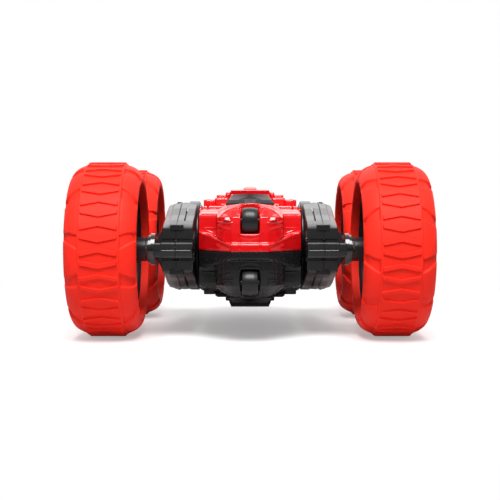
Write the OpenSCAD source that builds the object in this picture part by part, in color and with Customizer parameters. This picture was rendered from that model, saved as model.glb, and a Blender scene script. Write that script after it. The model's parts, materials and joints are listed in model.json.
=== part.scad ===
// Double-sided stunt car, in millimetres.
// A central body carries two geared arms on a cross pivot, and each arm carries two balloon wheels.
// X runs across the car, -Y is forwards and Z is up; the ground is z = 0.
// Left is the -X side. Shell heights are given from the mid-plane, which holds the pivot and axles.

/* [Wheels] */
// Outside diameter of a tyre over the tread
wheel_d = 72; // [66:0.5:78]
// Width of a tyre over its shoulders
tyre_w = 28.6; // [24:0.2:32]
// Width of the raised tread band
band_w = 14.8; // [10:0.2:18]
// Distance between front and rear axles
wheelbase = 93.6; // [93.6:0.1:93.6]
// Distance between the wheel mid-planes, left to right
track = 117; // [114:0.5:124]
// Outside radius of the rim barrel
rim_r = 27.5; // [24:0.25:29]
// Half the width of the rim barrel
rim_half_w = 10.8; // [8:0.1:12]
// Number of rim spokes
spokes = 6; // [5:1:8]
// Radius of an axle
axle_r = 1.5; // [1.2:0.1:2]

/* [Arms] */
// Inner face of an arm, from the middle of the car
arm_in = 23.4; // [23:0.1:25]
// Seam between the two half cases
arm_seam = 30.3; // [29:0.1:31]
// Outer edge of the raised panel
arm_panel = 36.1; // [35:0.1:37]
// Outer face of an arm
arm_out = 39.2; // [38.5:0.1:40]
// Wall thickness of the cases
case_wall = 1.2; // [0.8:0.1:1.6]
// Radius of the pivot drum
drum_r = 20.2; // [19:0.1:21]
// Radius of the pivot tube in its bearing
pivot_r = 10.5; // [10:0.1:10.8]
// Radius of a drive motor
motor_r = 7.7; // [7:0.1:8]
// Furthest twist of an arm either way, in degrees
twist_limit = 90; // [45:5:90]

/* [Body] */
// Half the width of the body
body_half_w = 20.65; // [19:0.05:21]
// Front face of the fenders, from the pivot axis
fender_y = 58; // [56:0.5:60]
// Foremost point of the nose, from the pivot axis
nose_y = 76.8; // [74:0.2:78]
// Wall thickness of the shells
shell_wall = 1.3; // [1:0.1:1.6]
// Height of the roof from the mid-plane
roof_h = 24.8; // [24.6:0.1:25.4]
// Height of the roof hump from the mid-plane
hump_h = 26.8; // [26:0.1:28]

/* [Nose rollers] */
// Radius of a roller at its crown
roller_r = 5.1; // [4.6:0.1:5.4]
// Width of a roller
roller_w = 6.6; // [6:0.1:7]
// Roller axis, forward of the pivot axis
roller_y = 72; // [71:0.1:73]
// Roller axis, from the mid-plane
roller_h = 12.2; // [11.5:0.1:12.5]

/* [Fits] */
// Radial clearance of a running fit
run_gap = 0.05; // [0.02:0.01:0.1]
// Gap left between meshing teeth
tooth_play = 0.2; // [0.1:0.05:0.3]

/* [Hidden] */
$fn = 64;
wheel_r = wheel_d / 2;
axle_z = wheel_r;
axle_y = wheelbase / 2;
wheel_x = track / 2;
tyre_half = tyre_w / 2;
band_half = band_w / 2;
pin_r = 1;
tooth = 0.8;
mesh_angle = 28;

// Drive train tooth counts, from the motor to the axle
z_motor = 10;
z_big = 32;
z_small = 13;
z_idler = 24;
z_axle = 14;
big_y = pitch_r(z_motor) + pitch_r(z_big);
idler_y = big_y + pitch_r(z_small) + pitch_r(z_idler);
layer_a = 31.3;
layer_a_end = 33.3;
layer_b = 33.7;
layer_b_end = 36.4;
cover_in = arm_out - case_wall;

// Twist train
z_twist = 30;
z_lay = 12;
z_lay_drive = 16;
z_twist_motor = 10;
lay_h = pitch_r(z_lay);
lay_y = sqrt(pow(pitch_r(z_twist) + pitch_r(z_lay), 2) - lay_h * lay_h);
lay_dir = atan2(lay_h, lay_y);
twist_x = 12;
twist_x_end = 15;
tube_end = 8.5;
tube_r = 9.4;
plate_in = 15.5;
plate_out = 18.5;
twist_motor_y = lay_y + pitch_r(z_lay_drive) + pitch_r(z_twist_motor);

// Gear turns that bring the teeth into mesh at rest
turn_big = mesh_turn(0, z_motor, z_big, 180);
turn_idler = mesh_turn(turn_big, z_small, z_idler, 180);
turn_axle = mesh_turn(turn_idler, z_idler, z_axle, 180);
turn_lay_a = mesh_turn(0, z_twist, z_lay, lay_dir);
turn_lay_b = mesh_turn(turn_lay_a, z_lay, z_lay, -90);
turn_twist_b = mesh_turn(turn_lay_b, z_lay, z_twist, 180 - lay_dir);
turn_twist_motor = mesh_turn(turn_lay_a, z_lay_drive, z_twist_motor, 0);

// Side outlines of an arm as distance from the pivot and half height
spine_line = [[0, 19.6], [12.75, 19.15], [23.5, 17.1], [33.7, 14.1], [43.4, 12.1], [50.5, 9.9]];
panel_line = [[0, 18.1], [12.75, 17.65], [23.5, 15.7], [33.7, 12.8], [43.4, 11], [52.75, 8.9], [53, 4.4]];
side_line = [[0, 16.4], [12.75, 16], [23.5, 14], [33.7, 11.2], [43.4, 9.4], [52.6, 7.6], [53, 4.4]];
room_line = [[0, 16.9], [12.75, 16.45], [23.5, 14.5], [33.7, 11.6], [43.4, 9.8], [51.5, 7.6], [51.8, 4.4], [53.4, 1.5]];
side_room_line = [[0, 15.2], [12.75, 14.8], [23.5, 12.8], [33.7, 10], [43.4, 8.2], [51, 6.4], [51.4, 4.4]];
nose_arm_y = 58.75;
nose_arm_h = 3;

// Screw places: arm cases as distance from the pivot and height, shells as X and Y
case_screw_at = [[0, 14.8], [0, -14.8], [43.2, 8.2], [43.2, -8.2], [-43.2, 8.2], [-43.2, -8.2]];
shell_screw_x = 16.8;
shell_screw_y = 50;

// Battery, board and lower-deck fittings
cell_r = 7;
cell_h = 15.5;
cell_front = -36;
cell_back = 9;
jack_x = 14.5;
jack_y = 40;
jack_bore_r = 1.75;
knob_y = 38;
knob_travel = 4;
door_half = 6.2;
door_front = -34;
door_back = 12;

// ---- gears ----

// Pitch radius of a gear
function pitch_r(z) = tooth * z / 2;

// Involute of an angle in degrees, as a plain number
function involute(a) = tan(a) - a * PI / 180;

// Half the angle of a tooth at radius r
function half_tooth(z, r) = 90 / z - tooth_play / pitch_r(z) * 90 / PI
    + (involute(mesh_angle) - involute(acos(min(1, pitch_r(z) * cos(mesh_angle) / r)))) * 180 / PI;

// Turn of a gear of z2 teeth that meshes with one of z1 teeth turned by turn1, in direction dir
function mesh_turn(turn1, z1, z2, dir) = dir + 180 - 180 / z2 + (dir - turn1) * z1 / z2;

// Radii used down a tooth flank
function flank(z) = let (rp = pitch_r(z), t = tooth) [rp - 1.1 * t, rp - 0.5 * t, rp, rp + 0.4 * t, rp + 0.8 * t];

// Outline of a gear, in the plane across its axis
module gear_outline(z, turn) {
    radii = flank(z);
    last = len(radii) - 1;
    points = [for (i = [0:z - 1], k = [0:2 * last + 1])
        let (j = k <= last ? k : 2 * last + 1 - k, r = radii[j], side = k <= last ? -1 : 1)
        let (a = turn + i * 360 / z + side * half_tooth(z, r))
        [r * cos(a), r * sin(a)]];
    polygon(points);
}

// A gear between x0 and x1 with its centre at y and height h from the pivot
module gear(z, turn, x0, x1, y, h) {
    translate([x0, y, axle_z + h])
        rotate([90, 0, 90])
            linear_extrude(height = x1 - x0)
                gear_outline(z, turn);
}

// ---- helpers ----

// Round bar along X from x0 to x1
module rod(x0, x1, r, y = 0, h = 0) {
    translate([x0, y, axle_z + h])
        rotate([0, 90, 0])
            cylinder(h = x1 - x0, r = r);
}

// Outline in Y and height, stretched along X
module slab_x(x0, x1) {
    translate([x0, 0, axle_z])
        rotate([90, 0, 90])
            linear_extrude(height = x1 - x0)
                children();
}

// Outline in X and height, stretched along Y
module slab_y(y0, y1) {
    translate([0, y1, axle_z])
        rotate([90, 0, 0])
            linear_extrude(height = y1 - y0)
                children();
}

// Outline in X and Y, stretched along Z
module slab_z(h0, h1) {
    translate([0, 0, axle_z + h0])
        linear_extrude(height = h1 - h0)
            children();
}

// Box from corner to corner, with heights from the mid-plane
module block(low, high) {
    translate([low[0], low[1], axle_z + low[2]])
        cube([high[0] - low[0], high[1] - low[1], high[2] - low[2]]);
}

module on_left() {
    mirror([1, 0, 0])
        children();
}

module at_rear() {
    mirror([0, 1, 0])
        children();
}

module both_ends() {
    children();
    at_rear()
        children();
}

module both_sides() {
    children();
    on_left()
        children();
}

module turned_over() {
    translate([0, 0, 2 * axle_z])
        mirror([0, 0, 1])
            children();
}

// Outline that is the same above and below and at both ends, from one quarter of it
module four_way(line) {
    n = len(line) - 1;
    upper_front = [for (i = [n:-1:0]) [-line[i][0], line[i][1]]];
    upper_rear = [for (i = [0:n]) line[i]];
    lower_rear = [for (i = [n:-1:0]) [line[i][0], -line[i][1]]];
    lower_front = [for (i = [0:n]) [-line[i][0], -line[i][1]]];
    polygon(concat(upper_front, upper_rear, lower_rear, lower_front));
}

// ---- wheels, drawn for the front right corner ----

module tyre() {
    b = band_half;
    t = tyre_half;
    color([0.86, 0.1, 0.06])
        translate([wheel_x, -axle_y, axle_z])
            rotate([0, 90, 0])
                rotate_extrude()
                    polygon([
                        [rim_r, -t + 0.4], [wheel_r - 7.5, -t], [wheel_r - 5.6, -t + 0.3],
                        [wheel_r - 3.5, -t + 2.1], [wheel_r - 1.5, -t + 5.5], [wheel_r - 1.2, -b - 0.6],
                        [wheel_r - 0.4, -b - 0.6], [wheel_r, -b],
                        [wheel_r, b], [wheel_r - 0.4, b + 0.6],
                        [wheel_r - 1.2, b + 0.6], [wheel_r - 1.5, t - 5.5], [wheel_r - 3.5, t - 2.1],
                        [wheel_r - 5.6, t - 0.3], [wheel_r - 7.5, t], [rim_r, t - 0.4],
                        [rim_r, t - 5.8], [rim_r + 1.5, t - 5.8], [rim_r + 2.1, t - 2.7],
                        [rim_r + 3.3, t - 3.1], [rim_r + 5.5, t - 6.1], [rim_r + 5.5, -t + 6.1],
                        [rim_r + 3.3, -t + 3.1], [rim_r + 2.1, -t + 2.7], [rim_r + 1.5, -t + 5.8],
                        [rim_r, -t + 5.8]]);
}

module rim() {
    w = rim_half_w;
    web_in = 2.4;
    web_out = 5;
    window_r0 = 10;
    window_r1 = 24.2;
    hub_r = 5;
    hub_in = 43 - wheel_x;
    color([0.06, 0.06, 0.065])
        translate([wheel_x, -axle_y, axle_z])
            rotate([0, 90, 0])
                difference() {
                    rotate_extrude()
                        polygon([
                            [axle_r, hub_in], [hub_r, hub_in], [hub_r, web_in - 2], [hub_r + 1.5, web_in],
                            [rim_r - 1.9, web_in], [rim_r - 1.9, -w + 1.2], [rim_r - 1.2, -w],
                            [rim_r, -w], [rim_r, w], [rim_r - 1.2, w], [rim_r - 1.9, w - 1.2],
                            [rim_r - 1.9, web_out], [8, web_out], [7, web_out + 1.6], [axle_r, web_out + 1.6]]);
                    for (i = [0:spokes - 1])
                        rotate([0, 0, (i + 0.5) * 360 / spokes])
                            translate([0, 0, web_in - 1])
                                linear_extrude(height = web_out - web_in + 2)
                                    polygon([
                                        [window_r0, -2.2], [13, -4.4], [window_r1 - 2.5, -8.6],
                                        [window_r1 - 0.8, -7.2], [window_r1, 0], [window_r1 - 0.8, 7.2],
                                        [window_r1 - 2.5, 8.6], [13, 4.4], [window_r0, 2.2]]);
                }
}

// Axle with its moulded gear, running from the inner case to the outer side of the rim
module axle() {
    color([0.82, 0.82, 0.78])
        union() {
            rod(arm_in + 1.9, wheel_x + 8.2, axle_r, -axle_y, 0);
            gear(z_axle, turn_axle, layer_b, layer_b_end, -axle_y, 0);
            rod(layer_b_end, layer_b_end + 0.4, 2.6, -axle_y, 0);
        }
}

module hub_cap() {
    cap_in = wheel_x + 6.6;
    color([0.09, 0.09, 0.1])
        translate([cap_in, -axle_y, axle_z])
            rotate([0, 90, 0])
                rotate_extrude()
                    polygon([[axle_r, 0], [6.4, 0], [6.4, 0.9], [5.2, 2.4], [3, 3.1], [0, 3.3], [0, 1.6], [axle_r, 1.6]]);
}

// ---- arm, drawn for the right side ----

module nose_bar(x0, x1) {
    both_ends()
        block([x0, -nose_arm_y, -nose_arm_h], [x1, -52, nose_arm_h]);
}

module inner_case() {
    floor_x = arm_in + case_wall;
    motor_stop = 29.6;
    color([0.07, 0.07, 0.075])
        difference() {
            union() {
                difference() {
                    union() {
                        slab_x(arm_in, arm_seam)
                            four_way(panel_line);
                        slab_x(27.4, arm_seam)
                            four_way(spine_line);
                        nose_bar(arm_in, arm_seam);
                        rod(22, 27.6, drum_r);
                    }
                    slab_x(floor_x, arm_seam + 1)
                        four_way(room_line);
                }
                rod(plate_in - 0.3, floor_x, pivot_r);
                rod(tube_end, plate_in - 0.3, tube_r);
                rod(floor_x, motor_stop + 0.8, tube_r);
                both_ends()
                    union() {
                        rod(floor_x, layer_a - 0.3, 2.4, -big_y, 0);
                        rod(floor_x, layer_a - 0.4, 2.4, -idler_y, 0);
                        rod(floor_x, layer_a, 3, -axle_y, 0);
                    }
                for (p = case_screw_at)
                    rod(floor_x, arm_seam, 2.1, p[0], p[1]);
            }
            rod(tube_end - 1, motor_stop, motor_r + 0.1);
            rod(motor_stop - 1, motor_stop + 2, 2.5);
            both_ends()
                union() {
                    rod(floor_x + 0.4, layer_a, pin_r, -big_y, 0);
                    rod(floor_x + 0.4, layer_a, pin_r, -idler_y, 0);
                    rod(floor_x, layer_a + 1, axle_r + run_gap, -axle_y, 0);
                }
            for (p = case_screw_at) {
                rod(21, 25.4, 1.7, p[0], p[1]);
                rod(25, arm_seam + 1, 0.8, p[0], p[1]);
            }
        }
}

// Wedges that slope the outer face above and below its middle, moved in by w
module side_slopes(w) {
    slope_top = 16.5;
    slope_low = 5;
    slope = atan2(arm_out - arm_panel, slope_top - slope_low);
    for (m = [0, 1])
        translate([0, 0, axle_z])
            mirror([0, 0, m])
                translate([arm_out - w, 0, slope_low])
                    rotate([0, -slope, 0])
                        translate([0, -60, 0])
                            cube([12, 120, 30]);
}

module outer_case() {
    color([0.06, 0.06, 0.065])
        difference() {
            union() {
                difference() {
                    union() {
                        slab_x(arm_seam, arm_panel)
                            four_way(panel_line);
                        slab_x(arm_seam, 33.4)
                            four_way(spine_line);
                        slab_x(arm_panel, arm_out)
                            four_way(side_line);
                        nose_bar(arm_seam, arm_out);
                    }
                    difference() {
                        union() {
                            slab_x(arm_seam - 1, arm_panel - case_wall)
                                four_way(room_line);
                            slab_x(arm_panel - case_wall - 1, cover_in)
                                four_way(side_room_line);
                        }
                        side_slopes(case_wall);
                    }
                    side_slopes(0);
                }
                both_ends()
                    union() {
                        rod(layer_b_end + 0.3, cover_in + 0.2, 2.4, -big_y, 0);
                        rod(layer_b_end + 0.3, cover_in + 0.2, 2.4, -idler_y, 0);
                    }
                for (p = case_screw_at)
                    rod(arm_seam, 35.2, 2.1, p[0], p[1]);
            }
            both_ends()
                union() {
                    rod(layer_b_end - 1, cover_in - 0.3, pin_r, -big_y, 0);
                    rod(layer_b_end - 1, cover_in - 0.3, pin_r, -idler_y, 0);
                    rod(layer_b_end - 1, arm_out + 1, 3, -axle_y, 0);
                    rod(layer_b - 0.4, layer_b_end + 0.35, 6.4, -axle_y, 0);
                }
            for (p = case_screw_at)
                rod(arm_seam - 1, 34.2, 0.8, p[0], p[1]);
        }
}

module drive_motor() {
    color([0.72, 0.73, 0.75])
        difference() {
            union() {
                rod(10.4, 29.5, motor_r);
                rod(9.4, 10.4, 5);
                rod(29.5, 30.6, 2.4);
            }
            rod(22, 31, pin_r + run_gap);
        }
}

module twist_gear(turn) {
    color([0.9, 0.88, 0.8])
        difference() {
            gear(z_twist, turn, twist_x, twist_x_end, 0, 0);
            rod(twist_x - 1, twist_x_end + 1, tube_r);
        }
}

module gear_pins() {
    color([0.78, 0.79, 0.8])
        both_ends()
            union() {
                rod(arm_in + case_wall + 0.4, cover_in - 0.3, pin_r, -big_y, 0);
                rod(arm_in + case_wall + 0.4, cover_in - 0.3, pin_r, -idler_y, 0);
            }
}

module case_screws() {
    color([0.3, 0.3, 0.32])
        for (p = case_screw_at)
            difference() {
                union() {
                    rod(24.2, 25.4, 1.6, p[0], p[1]);
                    rod(25.4, 34, 0.8, p[0], p[1]);
                }
                translate([24.2, p[0], axle_z + p[1]])
                    cube([1, 0.4, 2], center = true);
                translate([24.2, p[0], axle_z + p[1]])
                    cube([1, 2, 0.4], center = true);
            }
}

module axle_bushes() {
    color([0.08, 0.08, 0.085])
        both_ends()
            difference() {
                union() {
                    rod(cover_in - 0.9, arm_out, 3, -axle_y, 0);
                    rod(arm_out, arm_out + 1.6, 6.65, -axle_y, 0);
                    rod(arm_out + 1.6, arm_out + 2.7, 5.9, -axle_y, 0);
                    rod(arm_out + 2.7, arm_out + 3.4, 5.2, -axle_y, 0);
                }
                rod(cover_in - 2, arm_out + 4, axle_r + run_gap, -axle_y, 0);
            }
}

module motor_pinion() {
    color([0.8, 0.66, 0.32])
        union() {
            gear(z_motor, 0, layer_a, layer_a_end + 0.2, 0, 0);
            rod(23, layer_a_end + 0.8, pin_r);
        }
}

module compound() {
    color([0.93, 0.92, 0.86])
        difference() {
            union() {
                gear(z_big, turn_big, layer_a, layer_a_end, -big_y, 0);
                gear(z_small, turn_big, layer_a_end, layer_b_end, -big_y, 0);
            }
            rod(layer_a - 1, layer_b_end + 1, pin_r + run_gap, -big_y, 0);
        }
}

module idler() {
    color([0.93, 0.92, 0.86])
        difference() {
            gear(z_idler, turn_idler, layer_b, layer_b_end, -idler_y, 0);
            rod(layer_b - 1, layer_b_end + 1, pin_r + run_gap, -idler_y, 0);
        }
}

// ---- body, drawn as the upper shell ----

// Side outline of the fenders and decks, less the wall w
module tub_side(w) {
    y = fender_y - w;
    polygon([
        [-y, w > 0 ? -1 : 0], [-y, 14.2 - w], [-y + 0.6, 14.7 - w], [-47, 16.5 - w], [-20, 17.6 - w],
        [20, 17.6 - w], [47, 16.5 - w], [y - 0.6, 14.7 - w], [y, 14.2 - w], [y, w > 0 ? -1 : 0]]);
}

// Cross outline of the fenders and decks, less the wall w
module tub_front(w) {
    x = body_half_w - w;
    polygon([
        [-x, w > 0 ? -1 : 0], [-x, 14.7], [-x + 0.55, 16.5], [-x + 1.4, 18], [x - 1.4, 18],
        [x - 0.55, 16.5], [x, 14.7], [x, w > 0 ? -1 : 0]]);
}

module tub(w) {
    intersection() {
        slab_x(-30, 30)
            tub_side(w);
        slab_y(-70, 70)
            tub_front(w);
    }
}

// Plan of the nose, less the wall w
module nose_plan(w) {
    polygon([
        [-body_half_w + w, -50], [-body_half_w + w, -57.8], [-17.4 + w, -63.2 + w / 2],
        [-13.6 + w, -68.8 + w / 2], [-7.2, -nose_y + w], [7.2, -nose_y + w],
        [13.6 - w, -68.8 + w / 2], [17.4 - w, -63.2 + w / 2], [body_half_w - w, -57.8],
        [body_half_w - w, -50]]);
}

module bumper() {
    intersection() {
        slab_z(0, 7)
            nose_plan(0);
        slab_y(-80, -50)
            polygon([[-21, 0], [-21, 6.5], [-17.5, 6.5], [-8, 3], [8, 3], [17.5, 6.5], [21, 6.5], [21, 0]]);
    }
}

module hood() {
    intersection() {
        slab_z(0, 20)
            nose_plan(0);
        slab_y(-80, -46)
            polygon([[-13, 0], [-13, 14.7], [-8.7, 17.9], [-3, 19], [3, 19], [8.7, 17.9], [13, 14.7], [13, 0]]);
        slab_x(-14, 14)
            polygon([
                [-46, 0], [-nose_y, 0], [-nose_y, 3], [-75.5, 7.2], [-74.5, 12.2], [-71.5, 16.5],
                [-67, 18.4], [-50, 19], [-46, 19]]);
    }
}

// Space inside the nose, clear of the roller pocket
module nose_room() {
    intersection() {
        slab_z(-1, 13)
            nose_plan(shell_wall);
        union() {
            block([-11.6, -75, -1], [11.6, -50, 5.8]);
            block([6.8, -69, -1], [11.6, -50, 13]);
            block([-11.6, -69, -1], [-6.8, -50, 13]);
            block([-11.6, -64, -1], [11.6, -50, 16.5]);
        }
    }
}

// Cabin block, less the wall w
module cabin(w) {
    low = w > 0 ? 10 : 15;
    intersection() {
        slab_y(-60, 60)
            polygon([
                [-10.3 + w, low], [-10.3 + w, 18.9], [-8.7 + w, roof_h - w],
                [8.7 - w, roof_h - w], [10.3 - w, 18.9], [10.3 - w, low]]);
        slab_x(-12, 12)
            polygon([
                [-50 + w, low], [-50 + w, 18.9 - w * 0.9], [-37.6 + w, 23.3 - w], [-37 + w, roof_h - w],
                [37 - w, roof_h - w], [37.6 - w, 23.3 - w], [50 - w, 18.9 - w * 0.9], [50 - w, low]]);
    }
}

module roof_hump() {
    slab_x(-3, 3)
        polygon([[-12, roof_h - 0.5], [-12, roof_h], [-9, hump_h], [20, hump_h], [24, roof_h], [24, roof_h - 0.5]]);
}

module side_pods() {
    both_sides()
        slab_x(18.1, 20.3)
            polygon([[-23, 15], [-23, 19.4], [-21, 20.85], [21, 20.85], [23, 19.4], [23, 15]]);
}

module engine_pods() {
    both_sides()
        slab_x(9.6, 14.8)
            polygon([[-10, 16.4], [-10, 22.2], [-8.6, 23.1], [21, 23.1], [27, 20.5], [31, 17.1], [31, 16.4]]);
}

// Sloped glass plate, also used as its own recess
module glass_plate() {
    slope = atan2(4.4, 12.4);
    translate([0, -50, axle_z + 18.9])
        rotate([slope, 0, 0])
            translate([0, 0.7, -1.1])
                linear_extrude(height = 1.1)
                    polygon([[-9.4, 0], [9.4, 0], [7.3, 11.9], [-7.3, 11.9]]);
}

module shell_bosses() {
    for (x = [-1, 1], y = [-1, 1])
        translate([x * shell_screw_x, y * shell_screw_y, axle_z + 1.3])
            cylinder(h = 13.2, r = 2.8);
}

module roller_cuts() {
    both_ends()
        union() {
            block([-roller_w / 2 - 0.4, -85, roller_h - 5.5], [roller_w / 2 + 0.4, -roller_y + 5.6, 25]);
            rod(-5.7, 5.7, pin_r + run_gap, -roller_y, roller_h);
        }
}

module shell() {
    difference() {
        union() {
            difference() {
                union() {
                    tub(0);
                    both_ends()
                        union() {
                            bumper();
                            hood();
                        }
                    cabin(0);
                    roof_hump();
                    side_pods();
                    engine_pods();
                }
                tub(shell_wall);
                cabin(shell_wall + 0.1);
                both_ends()
                    nose_room();
            }
            shell_bosses();
        }
        rod(-25, 25, pivot_r + 0.5);
        roller_cuts();
        glass_plate();
    }
}

module upper_shell() {
    color([0.8, 0.03, 0.05])
        difference() {
            shell();
            for (x = [-1, 1], y = [-1, 1])
                translate([x * shell_screw_x, y * shell_screw_y, axle_z])
                    cylinder(h = 9, r = 1.2);
        }
}

module lower_shell() {
    color([0.05, 0.05, 0.055])
        turned_over()
            difference() {
                shell();
                for (x = [-1, 1], y = [-1, 1])
                    translate([x * shell_screw_x, y * shell_screw_y, axle_z])
                        union() {
                            cylinder(h = 20, r = 1.2);
                            translate([0, 0, 12])
                                cylinder(h = 10, r = 2.4);
                        }
                block([-door_half, door_front, 22], [door_half, door_back, 30]);
                translate([jack_x, jack_y, axle_z + 10])
                    cylinder(h = 10, r = 3);
                block([-jack_x - 1.7, knob_y - 1.7, 10], [-jack_x + 1.7, knob_y + knob_travel + 1.7, 20]);
            }
}

module windshield() {
    color([0.12, 0.13, 0.15])
        glass_plate();
}

module battery_door() {
    color([0.06, 0.06, 0.065])
        turned_over()
            intersection() {
                union() {
                    difference() {
                        cabin(0);
                        cabin(shell_wall + 0.1);
                    }
                    roof_hump();
                }
                block([-door_half, door_front, 22], [door_half, door_back, 30]);
            }
}

module battery_pack() {
    color([0.1, 0.35, 0.62])
        translate([0, cell_front, axle_z - cell_h])
            rotate([-90, 0, 0])
                union() {
                    cylinder(h = cell_back - cell_front - 1, r = cell_r);
                    cylinder(h = cell_back - cell_front, r = 3);
                }
}

module chassis_frame() {
    tray_low = -4;
    tray_top = -2.5;
    color([0.16, 0.16, 0.17])
        difference() {
            union() {
                both_sides()
                    block([plate_in, -20, -14], [plate_out, 34, 14]);
                block([-plate_in - 1, -20, -6], [plate_in + 1, -17, 2]);
                block([-plate_in - 1, 30, -6], [plate_in + 1, 34, -1.6]);
                block([-13, -54, tray_low], [13, -17, tray_top]);
                block([-13, 23, tray_low], [13, 54, tray_top]);
                for (x = [-1, 1], y = [-1, 1])
                    translate([x * shell_screw_x, y * shell_screw_y, axle_z - 1.2])
                        cylinder(h = 2.4, r = 2.45);
                both_sides()
                    both_ends() {
                        block([11, -52, tray_low], [13.7, -48, 1.2]);
                        block([13, -52, -1], [15.4, -48, 1.2]);
                    }
                for (x = [-11, 11], y = [-50, -26])
                    translate([x, y, axle_z + tray_top])
                        cylinder(h = 8, r = 1.6);
                block([2.5, 21.5, tray_top], [14.5, 31.5, 1]);
                block([-8, -40, -8.2], [8, -38, tray_top]);
            }
            rod(-25, 25, pivot_r + run_gap);
            rod(-25, 25, pin_r + run_gap, lay_y, lay_h);
            rod(-25, 25, pin_r + run_gap, lay_y, -lay_h);
            rod(-1, 16, 6.3, twist_motor_y, lay_h);
            for (x = [-1, 1], y = [-1, 1])
                translate([x * shell_screw_x, y * shell_screw_y, axle_z - 3])
                    cylinder(h = 6, r = 1.2);
        }
}

module circuit_board() {
    color([0.06, 0.35, 0.16])
        union() {
            block([-12.5, -52, 5.5], [12.5, -22, 6.5]);
            block([-4, -44, 6.5], [4, -36, 7.6]);
            block([5.5, -34, 6.5], [9.5, -29, 8.4]);
            block([-9.5, -32, 6.5], [-5.5, -27, 8]);
            for (x = [-1, 1])
                translate([x * 8, -45, axle_z + 6.5])
                    cylinder(h = 4.2, r = 1.9);
        }
}

module twist_motor() {
    color([0.7, 0.71, 0.73])
        difference() {
            union() {
                rod(1.9, 14.6, 6, twist_motor_y, lay_h);
                rod(0.9, 1.9, 2.2, twist_motor_y, lay_h);
                rod(14.6, 15.2, 3.4, twist_motor_y, lay_h);
            }
            rod(0, 8, pin_r + run_gap, twist_motor_y, lay_h);
        }
}

module twist_motor_pinion() {
    color([0.8, 0.66, 0.32])
        union() {
            gear(z_twist_motor, turn_twist_motor, -4.2, -2, twist_motor_y, lay_h);
            rod(-4.6, 7.4, pin_r, twist_motor_y, lay_h);
        }
}

module twist_shaft_a() {
    color([0.93, 0.92, 0.86])
        union() {
            rod(-plate_out, plate_out, pin_r, lay_y, lay_h);
            gear(z_lay, turn_lay_a, -twist_x_end, -twist_x, lay_y, lay_h);
            gear(z_lay, turn_lay_a, -1.2, 1.2, lay_y, lay_h);
            gear(z_lay_drive, turn_lay_a, -4.2, -2.2, lay_y, lay_h);
        }
}

module twist_shaft_b() {
    color([0.93, 0.92, 0.86])
        union() {
            rod(-plate_out, plate_out, pin_r, lay_y, -lay_h);
            gear(z_lay, turn_lay_b, twist_x, twist_x_end, lay_y, -lay_h);
            gear(z_lay, turn_lay_b, -1.2, 1.2, lay_y, -lay_h);
        }
}

module charge_jack() {
    color([0.78, 0.76, 0.7])
        turned_over()
            translate([jack_x, jack_y, axle_z])
                difference() {
                    union() {
                        translate([0, 0, 11])
                            cylinder(h = 6.2, r = 3);
                        translate([0, 0, 10])
                            cylinder(h = 1.2, r = 4);
                    }
                    translate([0, 0, 12.2])
                        cylinder(h = 6, r = jack_bore_r);
                }
}

module switch_knob() {
    color([0.12, 0.12, 0.13])
        turned_over()
            union() {
                block([-jack_x - 1.5, knob_y - 1.5, 14], [-jack_x + 1.5, knob_y + 1.5, 18.2]);
                block([-jack_x - 2.6, knob_y - 3.2, 13.6], [-jack_x + 2.6, knob_y + 3.2, 14.8]);
            }
}

module shell_screws() {
    color([0.3, 0.3, 0.32])
        for (x = [-1, 1], y = [-1, 1])
            translate([x * shell_screw_x, y * shell_screw_y, axle_z])
                difference() {
                    union() {
                        translate([0, 0, -12])
                            cylinder(h = 20.5, r = 1.2);
                        translate([0, 0, -13.6])
                            cylinder(h = 1.6, r = 2.2);
                    }
                    translate([0, 0, -13.6])
                        cube([3, 0.6, 1.4], center = true);
                    translate([0, 0, -13.6])
                        cube([0.6, 3, 1.4], center = true);
                }
}

// Crowned roller with its stub axles, in the front upper nose
module roller() {
    edge = roller_r - 0.7;
    w = roller_w / 2;
    color([0.05, 0.05, 0.055])
        translate([0, -roller_y, axle_z + roller_h])
            rotate([0, 90, 0])
                rotate_extrude()
                    polygon([
                        [0, -5.5], [pin_r, -5.5], [pin_r, -w], [edge - 0.5, -w], [edge, -w + 0.5],
                        [roller_r - 0.2, -w * 0.45], [roller_r, 0], [roller_r - 0.2, w * 0.45],
                        [edge, w - 0.5], [edge - 0.5, w], [pin_r, w], [pin_r, 5.5], [0, 5.5]]);
}

// ---- the car ----

upper_shell();
lower_shell();
windshield();  // upper_windshield
turned_over() windshield();  // lower_windshield
chassis_frame();
battery_pack();
battery_door();
circuit_board();
twist_motor();
charge_jack();
shell_screws();
switch_knob();
roller();  // front_upper_roller
at_rear() roller();  // rear_upper_roller
turned_over() roller();  // front_lower_roller
turned_over() at_rear() roller();  // rear_lower_roller
twist_shaft_a();
twist_shaft_b();
twist_motor_pinion();

on_left() inner_case();  // left_inner_case
on_left() outer_case();  // left_outer_case
on_left() drive_motor();  // left_drive_motor
on_left() twist_gear(0);  // left_twist_gear
on_left() gear_pins();  // left_gear_pins
on_left() case_screws();  // left_case_screws
on_left() axle_bushes();  // left_axle_bushes
on_left() motor_pinion();  // left_motor_pinion
on_left() compound();  // left_front_compound
on_left() at_rear() compound();  // left_rear_compound
on_left() idler();  // left_front_idler
on_left() at_rear() idler();  // left_rear_idler
on_left() tyre();  // left_front_tyre
on_left() rim();  // left_front_rim
on_left() axle();  // left_front_axle
on_left() hub_cap();  // left_front_hub_cap
on_left() at_rear() tyre();  // left_rear_tyre
on_left() at_rear() rim();  // left_rear_rim
on_left() at_rear() axle();  // left_rear_axle
on_left() at_rear() hub_cap();  // left_rear_hub_cap

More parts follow.
